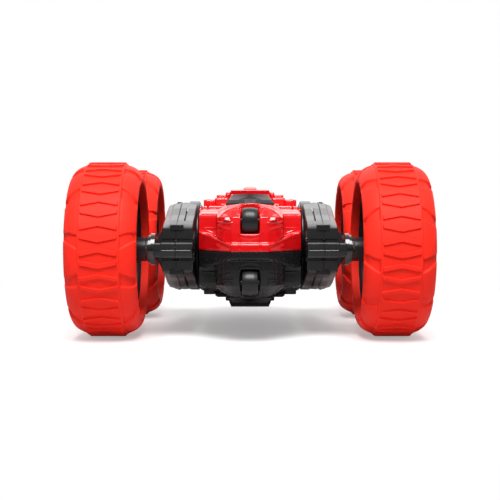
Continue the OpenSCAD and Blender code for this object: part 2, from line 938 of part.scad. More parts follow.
inner_case();  // right_inner_case
outer_case();  // right_outer_case
drive_motor();  // right_drive_motor
twist_gear(turn_twist_b);  // right_twist_gear
gear_pins();  // right_gear_pins
case_screws();  // right_case_screws
axle_bushes();  // right_axle_bushes
motor_pinion();  // right_motor_pinion
compound();  // right_front_compound
at_rear() compound();  // right_rear_compound
idler();  // right_front_idler
at_rear() idler();  // right_rear_idler
tyre();  // right_front_tyre
rim();  // right_front_rim
axle();  // right_front_axle
hub_cap();  // right_front_hub_cap
at_rear() tyre();  // right_rear_tyre
at_rear() rim();  // right_rear_rim
at_rear() axle();  // right_rear_axle
at_rear() hub_cap();  // right_rear_hub_cap
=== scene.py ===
import json
import math

import bmesh
import bpy
import numpy as np
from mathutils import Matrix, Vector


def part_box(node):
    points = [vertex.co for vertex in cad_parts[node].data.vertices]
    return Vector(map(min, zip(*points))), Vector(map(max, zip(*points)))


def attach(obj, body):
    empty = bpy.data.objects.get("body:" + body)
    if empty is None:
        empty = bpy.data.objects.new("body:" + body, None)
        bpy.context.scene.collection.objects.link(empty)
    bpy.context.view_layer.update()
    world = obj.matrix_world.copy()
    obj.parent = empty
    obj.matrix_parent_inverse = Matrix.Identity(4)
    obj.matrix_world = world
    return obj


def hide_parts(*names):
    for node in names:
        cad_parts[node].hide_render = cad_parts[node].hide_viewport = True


bl_info = {
    "name": "Twist stunt car",
    "version": (1, 0, 0),
    "blender": (4, 5, 0),
    "location": "3D View > Sidebar > Stunt Car",
    "description": "Tyres, body shells, geared arms and finishes of a double-sided stunt car",
    "category": "Object",
}

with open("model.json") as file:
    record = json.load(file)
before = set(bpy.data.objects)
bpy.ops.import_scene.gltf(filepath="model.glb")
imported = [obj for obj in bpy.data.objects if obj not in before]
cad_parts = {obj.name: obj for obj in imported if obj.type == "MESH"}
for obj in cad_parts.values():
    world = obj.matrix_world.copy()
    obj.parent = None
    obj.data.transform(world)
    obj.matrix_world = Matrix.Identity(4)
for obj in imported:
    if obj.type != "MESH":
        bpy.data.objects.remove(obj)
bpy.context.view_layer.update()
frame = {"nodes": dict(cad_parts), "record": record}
MM = 0.001
FRONT, REAR = -1, 1
UPPER, LOWER = 1, -1


def node_box(name):
    """Lowest and highest corner of a node, in millimetres."""
    low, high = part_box(name)
    return np.array(low) / MM, np.array(high) / MM


WHEEL_LOW, WHEEL_HIGH = node_box("right_front_tyre")
PIVOT_Z = (WHEEL_LOW[2] + WHEEL_HIGH[2]) / 2
WHEEL_R = (WHEEL_HIGH[2] - WHEEL_LOW[2]) / 2
WHEEL_HALF_W = (WHEEL_HIGH[0] - WHEEL_LOW[0]) / 2
SHELL_HALF_W = node_box("upper_shell")[1][0]
CASE_LOW, CASE_HIGH = node_box("right_outer_case")
ARM_SEAM = CASE_LOW[0]
ARM_OUT = CASE_HIGH[0]
ARM_NOSE_Y = CASE_HIGH[1]
DRUM_LOW, DRUM_HIGH = node_box("right_inner_case")
ROLLER_LOW, ROLLER_HIGH = node_box("front_upper_roller")
ROLLER_Y = -(ROLLER_LOW[1] + ROLLER_HIGH[1]) / 2
ROLLER_H = (ROLLER_LOW[2] + ROLLER_HIGH[2]) / 2 - PIVOT_Z
ROLLER_R = (ROLLER_HIGH[2] - ROLLER_LOW[2]) / 2

# Half the gap between the two shells, and the height where a window's printed foot is measured from, mm
HALF_SEAM = 0.03
WINDOW_FOOT = 18.9
# Points closer than this are welded and edges shorter than this are closed up, in metres
WELD_GAP = 2e-6
SHORTEST_EDGE = 1e-7
# Scale of the slow wander of colour in a finish
CLOUD_SCALE = 45.0
# The point that the lights face, how far the floor reaches, and how far it lies under the tyres, in metres
LIGHT_AIM = np.array([0.0, 0.0, 0.03])
FLOOR_REACH = 6.0
FLOOR_DROP = 0.0002


# ---------------------------------------------------------------- settings


class TyreSettings(bpy.types.PropertyGroup):
    """Sizes and colour of the tyres"""

    lozenges: bpy.props.IntProperty(
        name="Lozenges", description="Rib pairs round the tread", default=22, min=12, max=36)
    rib_height: bpy.props.FloatProperty(
        name="Rib height", description="How far a rib stands up, mm", default=0.75)
    rib_width: bpy.props.FloatProperty(name="Rib width", description="Width of a rib, mm", default=1.5)
    band_half: bpy.props.FloatProperty(
        name="Band half width", description="Half the tread band, mm", default=8.0)
    channel_depth: bpy.props.FloatProperty(
        name="Channel depth", description="Depth of a shoulder channel, mm", default=0.85)
    colour: bpy.props.FloatVectorProperty(
        name="Rubber", description="Colour of the tyre rubber", subtype="COLOR", size=3,
        default=(0.93, 0.024, 0.012))


class ShellSettings(bpy.types.PropertyGroup):
    """Sizes and colours of the body shells"""

    skin: bpy.props.FloatProperty(name="Skin", description="Wall of a shell, mm", default=0.9)
    line_depth: bpy.props.FloatProperty(
        name="Line depth", description="Depth of a moulded line, mm", default=0.35)
    red: bpy.props.FloatVectorProperty(
        name="Red", description="Colour of the upper shell", subtype="COLOR", size=3,
        default=(0.6, 0.0012, 0.003))
    black: bpy.props.FloatVectorProperty(
        name="Black", description="Colour of the lower shell", subtype="COLOR", size=3,
        default=(0.006, 0.006, 0.007))


class ArmSettings(bpy.types.PropertyGroup):
    """Sizes and colour of the arm cases"""

    seam_gap: bpy.props.FloatProperty(
        name="Seam gap", description="Gap between the half cases, mm", default=0.16)
    skin: bpy.props.FloatProperty(name="Skin", description="Wall of a case, mm", default=0.8)
    colour: bpy.props.FloatVectorProperty(
        name="Case", description="Colour of the arm cases", subtype="COLOR", size=3,
        default=(0.009, 0.009, 0.01))


class StageSettings(bpy.types.PropertyGroup):
    """Where the camera stands"""

    camera_distance: bpy.props.FloatProperty(
        name="Camera distance", description="From the middle of the car", unit="LENGTH", default=0.505)
    camera_height: bpy.props.FloatProperty(
        name="Camera height", description="Above the floor", unit="LENGTH", default=0.0527)
    camera_pitch: bpy.props.FloatProperty(
        name="Camera pitch", description="Downward tilt", unit="ROTATION", default=math.radians(2.13))
    lens: bpy.props.FloatProperty(name="Lens", description="Focal length, mm", default=79.5)


# ---------------------------------------------------------------- surfaces


def smooth(t):
    """Cubic ease: 3 t^2 - 2 t^3 on t held between 0 and 1."""
    t = np.clip(t, 0.0, 1.0)
    return t * t * (3 - 2 * t)


def resample(knots, counts):
    """Points along a broken line: counts[i] equal steps on its i-th stretch, ends included once."""
    knots = np.asarray(knots, float)
    steps = [np.linspace(0, 1, n, endpoint=False)[:, None] for n in counts]
    runs = [knots[i] + (knots[i + 1] - knots[i]) * s for i, s in enumerate(steps)]
    return np.vstack(runs + [knots[-1:]])


class Skin:
    """Collects grids of points, in millimetres, and makes one mesh of them."""

    def __init__(self):
        self.points, self.faces, self.count = [], [], 0

    def add(self, grid, wrap_rows=False, wrap_cols=False, cap=False, away_from=None):
        """Grid of rows by columns by xyz; faces turn away from its middle, or from a given point."""
        rows, cols = grid.shape[:2]
        flat = grid.reshape(-1, 3)
        index = np.arange(rows * cols).reshape(rows, cols)
        below = np.roll(index, -1, 0) if wrap_rows else index[1:]
        here = index if wrap_rows else index[:-1]
        if wrap_cols:
            quads = np.stack([here, np.roll(here, -1, 1), np.roll(below, -1, 1), below], -1)
        else:
            quads = np.stack([here[:, :-1], here[:, 1:], below[:, 1:], below[:, :-1]], -1)
        quads = quads.reshape(-1, 4)
        if cap:
            flat, quads = self._cap(flat, quads, index)
        corner = flat[quads]
        normal = np.cross(corner[:, 2] - corner[:, 0], corner[:, 3] - corner[:, 1])
        middle = flat.mean(0) if away_from is None else np.asarray(away_from, float)
        if np.sum(normal * (corner.mean(1) - middle)) < 0:
            quads = quads[:, ::-1]
        self.points.append(flat)
        self.faces.append(quads + self.count)
        self.count += len(flat)

    def _cap(self, flat, quads, index):
        """Closes the first and last rows of a column-wrapped grid, each with a fan of thin quads."""
        extra = []
        for row, way in ((index[0], 1), (index[-1], -1)):
            centre = len(flat)
            flat = np.vstack([flat, flat[row].mean(0)[None]])
            ring = row[::way]
            hub = np.full_like(ring, centre)
            extra.append(np.stack([np.roll(ring, -1), ring, hub, hub], -1))
        return flat, np.vstack([quads, *extra])

    def mesh(self, name):
        """One smooth-shaded mesh, in metres; a face whose last two corners are one is a triangle."""
        points = np.vstack(self.points) * MM
        faces = np.vstack(self.faces)
        mesh = bpy.data.meshes.new(name)
        mesh.vertices.add(len(points))
        mesh.vertices.foreach_set("co", points.astype(np.float32).ravel())
        triple = faces[:, 2] == faces[:, 3]
        sizes = np.where(triple, 3, 4)
        keep = np.ones(faces.shape, bool)
        keep[triple, 3] = False
        loops = faces[keep]
        starts = np.concatenate([[0], np.cumsum(sizes)[:-1]])
        mesh.loops.add(len(loops))
        mesh.loops.foreach_set("vertex_index", loops.astype(np.int32))
        mesh.polygons.add(len(faces))
        mesh.polygons.foreach_set("loop_start", starts.astype(np.int32))
        mesh.polygons.foreach_set("use_smooth", np.ones(len(faces), bool))
        mesh.update(calc_edges=True)
        mesh.validate()
        return mesh


def make_piece(name, skin, body, nodes, slot, crease, material=None, weld=True):
    """Turns a skin into an object that rides on a body, stands for its nodes and has its slot's finish."""
    mesh = skin.mesh(name)
    if weld:
        work = bmesh.new()
        work.from_mesh(mesh)
        bmesh.ops.remove_doubles(work, verts=work.verts, dist=WELD_GAP)
        bmesh.ops.dissolve_degenerate(work, edges=work.edges, dist=SHORTEST_EDGE)
        work.to_mesh(mesh)
        work.free()
    mesh.set_sharp_from_angle(angle=math.radians(crease))
    piece = bpy.data.objects.new(name, mesh)
    bpy.context.scene.collection.objects.link(piece)
    mesh.materials.append(material or finish(slot))
    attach(piece, body)
    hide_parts(*nodes)
    return piece


def turned(profile, steps, centre, axis_sign=1):
    """Surface of revolution about X: profile rows of (offset, radius), carried round in equal steps."""
    angle = np.linspace(0, 2 * np.pi, steps, endpoint=False)
    offset, radius = profile[:, 0][None], profile[:, 1][None]
    return np.stack([
        centre[0] + axis_sign * offset + 0 * angle[:, None],
        centre[1] + radius * np.cos(angle)[:, None],
        centre[2] + radius * np.sin(angle)[:, None]], -1)


def soft_block(skin, centre, half, roundness, lean=(0.0, 0.0), steps=(40, 24)):
    """Rounded box: a sphere whose sines and cosines are raised to a small power.

    lean draws the top of its front end and of its rear end in by so many millimetres.
    """
    u = np.linspace(-np.pi, np.pi, steps[0], endpoint=False)[:, None]
    v = np.linspace(-np.pi / 2, np.pi / 2, steps[1])[None]

    def power(t):
        return np.sign(t) * np.abs(t) ** roundness

    x = power(np.cos(v)) * power(np.cos(u))
    y = power(np.cos(v)) * power(np.sin(u))
    z = power(np.sin(v)) + 0 * u
    rise = (z + 1) / 2
    y_mm = y * half[1] - np.minimum(y, 0) * lean[0] * rise - np.maximum(y, 0) * lean[1] * rise
    grid = np.stack([centre[0] + x * half[0], centre[1] + y_mm, centre[2] + z * half[2]], -1)
    skin.add(grid.transpose(1, 0, 2), wrap_cols=True)


# ---------------------------------------------------------------- finishes


def nodes_of(material):
    """The nodes, the links and the main shader of a material."""
    material.use_nodes = True
    tree = material.node_tree
    return tree.nodes, tree.links, tree.nodes["Principled BSDF"]


def moulded(name, colour, rough=0.3, grain=900.0, grain_height=0.02, shade=0.12, rough_spread=0.08,
            coat=0.0, coat_rough=0.05, metallic=0.0, specular=0.5, stretch=(1, 1, 1)):
    """Plastic, rubber or metal: colour and gloss wander a little, and a fine grain bumps the surface."""
    material = bpy.data.materials.new(name)
    nodes, links, shader = nodes_of(material)
    place = nodes.new("ShaderNodeTexCoord")
    mapping = nodes.new("ShaderNodeMapping")
    mapping.inputs["Scale"].default_value = stretch
    links.new(place.outputs["Object"], mapping.inputs["Vector"])
    cloud = nodes.new("ShaderNodeTexNoise")
    cloud.inputs["Scale"].default_value = CLOUD_SCALE
    cloud.inputs["Detail"].default_value = 3.0
    fine = nodes.new("ShaderNodeTexNoise")
    fine.inputs["Scale"].default_value = grain
    fine.inputs["Detail"].default_value = 4.0
    for texture in (cloud, fine):
        links.new(mapping.outputs["Vector"], texture.inputs["Vector"])
    ramp = nodes.new("ShaderNodeValToRGB")
    dark = [c * (1 - shade) for c in colour]
    light = [min(1.0, c * (1 + shade) + 0.002) for c in colour]
    ramp.color_ramp.elements[0].position = 0.3
    ramp.color_ramp.elements[1].position = 0.7
    ramp.color_ramp.elements[0].color = (*dark, 1)
    ramp.color_ramp.elements[1].color = (*light, 1)
    links.new(cloud.outputs["Fac"], ramp.inputs["Fac"])
    links.new(ramp.outputs["Color"], shader.inputs["Base Color"])
    spread = nodes.new("ShaderNodeMapRange")
    spread.inputs["To Min"].default_value = max(0.02, rough - rough_spread)
    spread.inputs["To Max"].default_value = rough + rough_spread
    links.new(fine.outputs["Fac"], spread.inputs["Value"])
    links.new(spread.outputs["Result"], shader.inputs["Roughness"])
    bump = nodes.new("ShaderNodeBump")
    bump.inputs["Strength"].default_value = 0.5
    bump.inputs["Distance"].default_value = grain_height * MM
    links.new(fine.outputs["Fac"], bump.inputs["Height"])
    links.new(bump.outputs["Normal"], shader.inputs["Normal"])
    shader.inputs["Metallic"].default_value = metallic
    shader.inputs["Specular IOR Level"].default_value = specular
    shader.inputs["Coat Weight"].default_value = coat
    shader.inputs["Coat Roughness"].default_value = coat_rough
    return material


def window_print(name, side):
    """Smoked window: grey at its sides, dark in the middle, with a black chevron printed along its foot."""
    material = bpy.data.materials.new(name)
    nodes, links, shader = nodes_of(material)
    place = nodes.new("ShaderNodeTexCoord")
    split = nodes.new("ShaderNodeSeparateXYZ")
    links.new(place.outputs["Object"], split.inputs["Vector"])

    def math_node(operation, a, b=None):
        """Result of one sum on sockets or plain numbers."""
        node = nodes.new("ShaderNodeMath")
        node.operation = operation
        for slot_index, value in enumerate((a, b)):
            if value is None:
                continue
            if isinstance(value, (int, float)):
                node.inputs[slot_index].default_value = value
            else:
                links.new(value, node.inputs[slot_index])
        return node.outputs[0]

    across = math_node("ABSOLUTE", split.outputs["X"])
    height = math_node("MULTIPLY", math_node("SUBTRACT", split.outputs["Z"], PIVOT_Z * MM), side)
    rise = math_node("SUBTRACT", height, WINDOW_FOOT * MM)
    chevron_top = math_node("SUBTRACT", 3.3 * MM, math_node("MULTIPLY", across, 0.36))
    chevron_low = math_node("SUBTRACT", 2.3 * MM, math_node("MULTIPLY", across, 0.2))
    under_top = math_node("LESS_THAN", rise, chevron_top)
    over_low = math_node("GREATER_THAN", rise, chevron_low)
    in_strip = math_node("LESS_THAN", rise, 1.5 * MM)
    off_middle = math_node("GREATER_THAN", across, 2.2 * MM)
    in_chevron = math_node("MULTIPLY", under_top, over_low)
    foot = math_node("MULTIPLY", in_strip, off_middle)
    dark = math_node("MAXIMUM", in_chevron, foot)
    ramp = nodes.new("ShaderNodeValToRGB")
    ramp.color_ramp.elements[0].color = (0.02, 0.019, 0.02, 1)
    ramp.color_ramp.elements[1].color = (0.11, 0.1, 0.11, 1)
    links.new(math_node("MULTIPLY", across, 1 / (8.5 * MM)), ramp.inputs["Fac"])
    mix = nodes.new("ShaderNodeMix")
    mix.data_type = "RGBA"
    links.new(dark, mix.inputs["Factor"])
    links.new(ramp.outputs["Color"], mix.inputs["A"])
    mix.inputs["B"].default_value = (0.006, 0.006, 0.007, 1)
    links.new(mix.outputs["Result"], shader.inputs["Base Color"])
    grain = nodes.new("ShaderNodeTexNoise")
    grain.inputs["Scale"].default_value = 300.0
    links.new(place.outputs["Object"], grain.inputs["Vector"])
    spread = nodes.new("ShaderNodeMapRange")
    spread.inputs["To Min"].default_value = 0.3
    spread.inputs["To Max"].default_value = 0.4
    links.new(grain.outputs["Fac"], spread.inputs["Value"])
    links.new(spread.outputs["Result"], shader.inputs["Roughness"])
    shader.inputs["Specular IOR Level"].default_value = 0.04
    return material


FINISH = {}


def finish(slot_name):
    """The finish of a record slot, made the first time it is asked for."""
    if slot_name in FINISH:
        return FINISH[slot_name]
    scene = bpy.context.scene
    tyre, shell, arm = scene.stunt_tyre, scene.stunt_shell, scene.stunt_arm
    recipes = {
        "tyre_red": dict(colour=tuple(tyre.colour), rough=0.55, grain=1500, grain_height=0.03,
                         shade=0.05, specular=0.12),
        "red_gloss": dict(colour=tuple(shell.red), rough=0.16, grain=500, grain_height=0.006, shade=0.05,
                          rough_spread=0.04, coat=0.3),
        "black_gloss": dict(colour=tuple(shell.black), rough=0.26, grain=700, grain_height=0.01,
                            specular=0.3),
        "arm_black": dict(colour=tuple(arm.colour), rough=0.3, grain=1100, grain_height=0.012, coat=0.2,
                          coat_rough=0.12),
        "rim_black": dict(colour=(0.013, 0.013, 0.015), rough=0.3, grain=900, grain_height=0.012, coat=0.2),
        "bush_black": dict(colour=(0.012, 0.012, 0.013), rough=0.18, grain=900, grain_height=0.006, coat=0.5),
        "roller_black": dict(colour=(0.009, 0.009, 0.01), rough=0.34, grain=1300, grain_height=0.03,
                             specular=0.35),
        "black_satin": dict(colour=(0.02, 0.02, 0.022), rough=0.42, grain=1200, grain_height=0.02),
        "frame_plastic": dict(colour=(0.045, 0.045, 0.05), rough=0.5, grain=900, grain_height=0.02),
        "cell_wrap": dict(colour=(0.03, 0.16, 0.5), rough=0.25, grain=500, grain_height=0.01, coat=0.4),
        "board": dict(colour=(0.01, 0.19, 0.06), rough=0.35, grain=600, grain_height=0.02, coat=0.3),
        "brass_gear": dict(colour=(0.72, 0.5, 0.17), rough=0.28, metallic=1.0, grain=1400, grain_height=0.01,
                           stretch=(1, 6, 6)),
        "motor_steel": dict(colour=(0.6, 0.61, 0.63), rough=0.32, metallic=1.0, grain=900, grain_height=0.008,
                            stretch=(12, 1, 1)),
        "pin_steel": dict(colour=(0.66, 0.67, 0.69), rough=0.22, metallic=1.0, grain=1200, grain_height=0.006,
                          stretch=(10, 1, 1)),
        "jack_metal": dict(colour=(0.7, 0.69, 0.66), rough=0.2, metallic=1.0, grain=800, grain_height=0.005),
        "dark_screw": dict(colour=(0.12, 0.12, 0.13), rough=0.34, metallic=1.0, grain=1500,
                           grain_height=0.01),
        "white_nylon": dict(colour=(0.8, 0.79, 0.72), rough=0.45, grain=800, grain_height=0.012, shade=0.04),
    }
    FINISH[slot_name] = moulded(slot_name, **recipes[slot_name])
    return FINISH[slot_name]


# ---------------------------------------------------------------- tyres


# Turn of the lozenges and of the shoulder channels at rest, in degrees
TREAD_TURNS = {
    "left_front": (-3.7, -5.9), "right_front": (2.9, -21.7),
    "left_rear": (4.6, 9.5), "right_rear": (-5.2, 17.0)}


def tyre_grid(settings, lozenge_turn, channel_turn):
    """Tyre skin as rows round the axle and columns over its section.

    The section is a broken line of (offset, radius). On the tread band each pitch is shared out so
    that grid lines follow the two ribs of a lozenge, whose half gap narrows towards the band's edges.
    On the shoulders pairs of slanting channels are pressed in.
    """
    half, outer = WHEEL_HALF_W, WHEEL_R
    band = settings.band_half
    base = outer - settings.rib_height
    flank = [
        (half - 0.4, 27.5), (half - 0.05, 28.1), (half, 28.9), (half - 0.15, 30.1), (half - 0.75, 31.3),
        (half - 1.75, 32.6), (half - 3.4, 33.75), (band + 1.1, 34.55), (band + 0.25, 34.7),
        (band + 0.12, 34.95), (band + 0.02, base - 0.12), (band - 0.22, base)]
    counts = [2, 2, 3, 4, 5, 6, 8, 3, 1, 2, 1]
    right = resample(flank, counts)
    for _ in range(6):
        right[1:-7] = (right[:-8] + 2 * right[1:-7] + right[2:-6]) / 4
    tread = np.stack([np.linspace(band - 0.22, -band + 0.22, 46), np.full(46, base)], -1)
    left = right[::-1] * [-1, 1]
    outer_line = np.vstack([right, tread[1:-1], left])
    well = np.array([
        (-half + 5.8, 27.52), (-half + 5.8, 29), (-half + 2.7, 29.6), (-half + 3.1, 30.8), (-half + 6.1, 33),
        (half - 6.1, 33), (half - 3.1, 30.8), (half - 2.7, 29.6), (half - 5.8, 29), (half - 5.8, 27.52)])
    line = np.vstack([outer_line, well])
    offset, radius = line[:, 0], line[:, 1]
    n_outer = len(outer_line)

    pitch = 2 * np.pi / settings.lozenges
    arc = pitch * outer
    across = np.clip(np.abs(offset) / 7.3, 0, 1.1)
    gap = 3.2 - 1.5 * across
    rib, ramp = settings.rib_width, 0.22
    zero = np.zeros_like(gap)
    marks = np.stack([
        zero, gap - rib / 2 - ramp, gap - rib / 2, gap + rib / 2, gap + rib / 2 + ramp, zero + arc / 2])
    lift = [0, 0, 1, 1, 0, 0]
    shares = [3, 2, 3, 2, 3]
    steps = [(i, k / n) for i, n in enumerate(shares) for k in range(n)]
    along = np.array([marks[i] + (marks[i + 1] - marks[i]) * part for i, part in steps])
    rise = np.array([lift[i] + (lift[i + 1] - lift[i]) * part for i, part in steps])
    count = len(along)
    one = np.concatenate([-(marks[-1] + 0 * along[:1]), -along[:0:-1], along])
    one_rise = np.concatenate([[0.0], rise[:0:-1], rise])
    even = np.linspace(-arc / 2, arc / 2, 2 * count, endpoint=False)[:, None]
    on_band = smooth((band - 0.1 - np.abs(offset)) / 0.5)[None]
    one = one * on_band + even * (1 - on_band)
    start = np.arange(settings.lozenges) * pitch
    angle = (start[:, None, None] + (one / outer)[None]).reshape(-1, len(offset)) + lozenge_turn
    ribs = np.tile(one_rise, settings.lozenges)[:, None]
    rib_end = smooth((7.45 - np.abs(offset)) / 0.3)[None]
    is_tread = ((np.arange(len(offset)) < n_outer) & (radius > base - 0.01))[None]
    grown = radius[None] + settings.rib_height * ribs * rib_end * is_tread

    out = np.clip((np.abs(offset) - band) / (half - band), 0, 1)[None]
    turn = (angle - channel_turn + np.pi / 6) % (np.pi / 3) - np.pi / 6
    degrees = np.abs(np.degrees(turn))
    inner_edge = 8.2 + 6.0 * out ** 1.3
    outer_edge = 16.6 + 3.6 * out
    soft = 0.75
    sunk = smooth((degrees - inner_edge) / soft + 0.5) * smooth((outer_edge - degrees) / soft + 0.5)
    on_shoulder = smooth((np.abs(offset) - band - 0.05) / 0.35)[None] * smooth((radius - 28.4) / 1.5)[None]
    on_shoulder = on_shoulder * (np.arange(len(offset)) < n_outer)[None]
    dip = settings.channel_depth * sunk * on_shoulder
    slope = np.clip((np.abs(offset) - band) / 6.5, 0, 1)[None]
    grown = grown - dip * np.cos(slope * 1.1)
    shifted = offset[None] - np.sign(offset)[None] * dip * np.sin(slope * 1.1)
    return shifted, angle, grown


class STUNT_OT_tyres(bpy.types.Operator):
    """Make the four ribbed balloon tyres"""

    bl_idname = "stunt.tyres"
    bl_label = "Tyres"

    def execute(self, context):
        settings = context.scene.stunt_tyre
        for corner, (lozenge_turn, channel_turn) in TREAD_TURNS.items():
            low, high = node_box(corner + "_tyre")
            middle = (low + high) / 2
            turns = math.radians(lozenge_turn), math.radians(channel_turn)
            shifted, angle, grown = tyre_grid(settings, *turns)
            grid = np.stack([
                middle[0] + shifted + 0 * angle,
                middle[1] - grown * np.cos(angle),
                middle[2] + grown * np.sin(angle)], -1)
            skin = Skin()
            skin.add(grid, wrap_rows=True, wrap_cols=True)
            make_piece(corner + "_balloon_tyre", skin, corner + "_wheel", [corner + "_tyre"],
                       "tyre_red", crease=50, weld=False)
        return {"FINISHED"}


# ---------------------------------------------------------------- arm cases


def arm_stations():
    """Stations along an arm: distance from the pivot, half height of the panel, height of the spine."""
    knots = [
        (0, 18.1, 1.5), (12.75, 17.65, 1.5), (23.5, 15.7, 1.4), (33.7, 12.8, 1.3), (43.4, 11.0, 1.1),
        (49.0, 9.75, 0.75), (51.2, 9.25, 0.35), (52.3, 8.95, 0.0), (52.7, 8.6, 0.0), (53.0, 4.5, 0.0),
        (52.7, 4.35, 0.0), (52.75, 2.75, 0.0), (58.0, 3.05, 0.0), (58.5, 2.5, 0.0),
        (ARM_NOSE_Y, 0.35, 0.0), (ARM_NOSE_Y, 0.02, 0.0)]
    counts = [10, 9, 9, 9, 5, 4, 3, 2, 8, 3, 3, 6, 2, 3, 1]
    front = resample(knots, counts)
    return np.vstack([front[:0:-1] * [-1, 1, 1], front])


def case_section(outer, gap):
    """Section of a half case as rows of (x, spine share, drop, height share) from the seam out.

    The height at a row is (panel half height + spine height * spine share - drop) * height share.
    """
    if outer:
        return np.array([
            (ARM_SEAM + gap / 2, 0.84, 1.2, 1), (ARM_SEAM + gap / 2, 0.84, 0, 1),
            (ARM_SEAM + gap / 2 + 0.22, 1, 0, 1), (ARM_SEAM + 2.75, 0.9, 0, 1),
            (ARM_SEAM + 3.1, 0.86, 0, 1), (ARM_SEAM + 3.35, 0.7, 0, 1), (ARM_SEAM + 3.6, 0.62, 0, 1),
            (ARM_OUT - 3.5, 0.3, 0, 1), (ARM_OUT - 3.15, 0.1, 0.28, 1), (ARM_OUT - 3.02, 0, 1.5, 1),
            (ARM_OUT - 2.8, 0, 1.75, 1), (ARM_OUT - 0.35, 0, 1.75, 0.42), (ARM_OUT, 0, 1.75, 0.3),
            (ARM_OUT, 0, 1.75, 0)])
    arm_in = ARM_SEAM - 6.9
    return np.array([
        (ARM_SEAM - gap / 2, 0.84, 1.2, 1), (ARM_SEAM - gap / 2, 0.84, 0, 1),
        (ARM_SEAM - gap / 2 - 0.22, 1, 0, 1), (ARM_SEAM - 2.2, 0.96, 0, 1),
        (ARM_SEAM - 2.7, 0.94, 0, 1), (ARM_SEAM - 2.8, 0.93, 1, 1), (ARM_SEAM - 3.4, 0.9, 1, 1),
        (ARM_SEAM - 3.5, 0.88, 0, 1), (arm_in + 0.35, 0.7, 0, 1), (arm_in, 0.6, 0.35, 1),
        (arm_in, 0, 0.35, 0.5), (arm_in, 0, 0.35, 0)])


def case_grid(settings, outer):
    """Half case skin: the section is carried along the stations and turned over for the lower half."""
    stations = arm_stations()
    section = case_section(outer, settings.seam_gap)
    counts = [1, 1, 4, 1, 2, 1, 5, 1, 1, 1, 6, 2, 3] if outer else [1, 1, 4, 1, 1, 2, 1, 6, 1, 4, 4]
    rows = resample(section, counts)
    along, half_height, ridge = stations.T
    slim = smooth((53.6 - np.abs(along)) / 0.8)[:, None]
    drop = rows[:, 2][None] * (0.1 + 0.9 * slim)
    if not outer:
        in_slot = ((rows[:, 0] < ARM_SEAM - 2.75) & (rows[:, 0] > ARM_SEAM - 3.45))[None]
        slot_room = smooth((np.abs(along) - 21) / 1.0) * (1 - smooth((np.abs(along) - 43) / 1.0))
        drop = np.where(in_slot, 1.7 * slot_room[:, None], drop)
    raised = half_height[:, None] + ridge[:, None] * rows[:, 1][None] - drop
    blunt = np.where(rows[:, 3] < 0.5, rows[:, 3] / 0.42, 1.0).clip(0, 1)
    share = rows[:, 3][None] * slim + (1 - slim) * blunt[None]
    height = np.maximum(raised, 0.0) * share
    x = rows[:, 0][None] + 0 * along[:, None]
    y = along[:, None] + 0 * rows[:, 0][None]
    upper = np.stack([x, y, PIVOT_Z + height], -1)
    lower = np.stack([x, y, PIVOT_Z - height], -1)[:, ::-1]
    return np.concatenate([upper, lower[:, 1:]], 1)


def clips(skin, side, way):
    """Two latches over the seam, at the upper and the lower edge of an arm's end."""
    for up in (UPPER, LOWER):
        centre = (side * (ARM_SEAM - 0.3), way * 52.25, PIVOT_Z + up * 9.2)
        soft_block(skin, centre, (2.75, 1.05, 1.1), roundness=0.2)


def seam_studs(skin, side, way):
    """Two small studs over the seam, above and below the pivot."""
    for up in (UPPER, LOWER):
        centre = (side * (ARM_SEAM + 1.6), way * 6.0, PIVOT_Z + up * 19.35)
        soft_block(skin, centre, (0.85, 0.85, 0.5), roundness=0.6, steps=(24, 16))


class STUNT_OT_arms(bpy.types.Operator):
    """Make the inner and outer half cases of both arms"""

    bl_idname = "stunt.arms"
    bl_label = "Arm cases"

    def execute(self, context):
        settings = context.scene.stunt_arm
        for side, side_name in ((-1, "left"), (1, "right")):
            for outer, half_name in ((True, "outer"), (False, "inner")):
                skin = Skin()
                grid = case_grid(settings, outer) * [side, 1, 1]
                middle = (side * (ARM_SEAM - 0.5 if outer else ARM_SEAM + 0.5), 0, PIVOT_Z)
                skin.add(grid, away_from=middle)
                name = f"{side_name}_{half_name}_arm_case"
                piece = make_piece(name, skin, side_name + "_arm", [f"{side_name}_{half_name}_case"],
                                   "arm_black", crease=28)
                wall = piece.modifiers.new("wall", "SOLIDIFY")
                wall.thickness = settings.skin * MM
                wall.offset = -1
                wall.use_rim = True
            drum = Skin()
            radius = (DRUM_HIGH[2] - DRUM_LOW[2]) / 2
            rim = np.array([
                (22.05, 9.7), (22.05, 18.6), (22.6, 18.9), (22.6, radius - 0.55), (22.95, radius - 0.1),
                (23.3, radius), (26.9, radius), (27.3, radius - 0.25), (27.4, radius - 1.2), (24.2, 18.4),
                (24.2, 10.6), (15.25, 10.5), (15.2, 9.45), (8.55, 9.4), (8.5, 7.85), (22.05, 7.85)])
            counts = [6, 2, 2, 3, 2, 4, 2, 2, 4, 4, 3, 1, 3, 1, 4]
            grid = turned(resample(rim, counts)[:-1], 128, (0, 0, PIVOT_Z), side)
            drum.add(grid, wrap_rows=True, wrap_cols=True)
            for way in (FRONT, REAR):
                clips(drum, side, way)
                seam_studs(drum, side, way)
            make_piece(side_name + "_pivot_drum", drum, side_name + "_arm", [], "arm_black", crease=35)
        return {"FINISHED"}


# ---------------------------------------------------------------- body shells


# Half width of the raised hood, and radius of the notch that clears the pivot in a shell's side, mm
HOOD_HALF_W = 13.0
PIVOT_NOTCH_R = 11.1


def nose_plan(x):
    """Y of the bumper's face over half width x."""
    return np.interp(x, [0, 7.2, 13.6, 17.4, SHELL_HALF_W], [-76.7, -76.5, -68.8, -63.2, -57.9])


def hood_plan(x):
    """Y of the hood's face over half width x, before its slope."""
    return np.interp(x, [0, 3.7, 7.2, 10.3, 13.0], [-75.3, -75.2, -74.6, -72.6, -69.6])


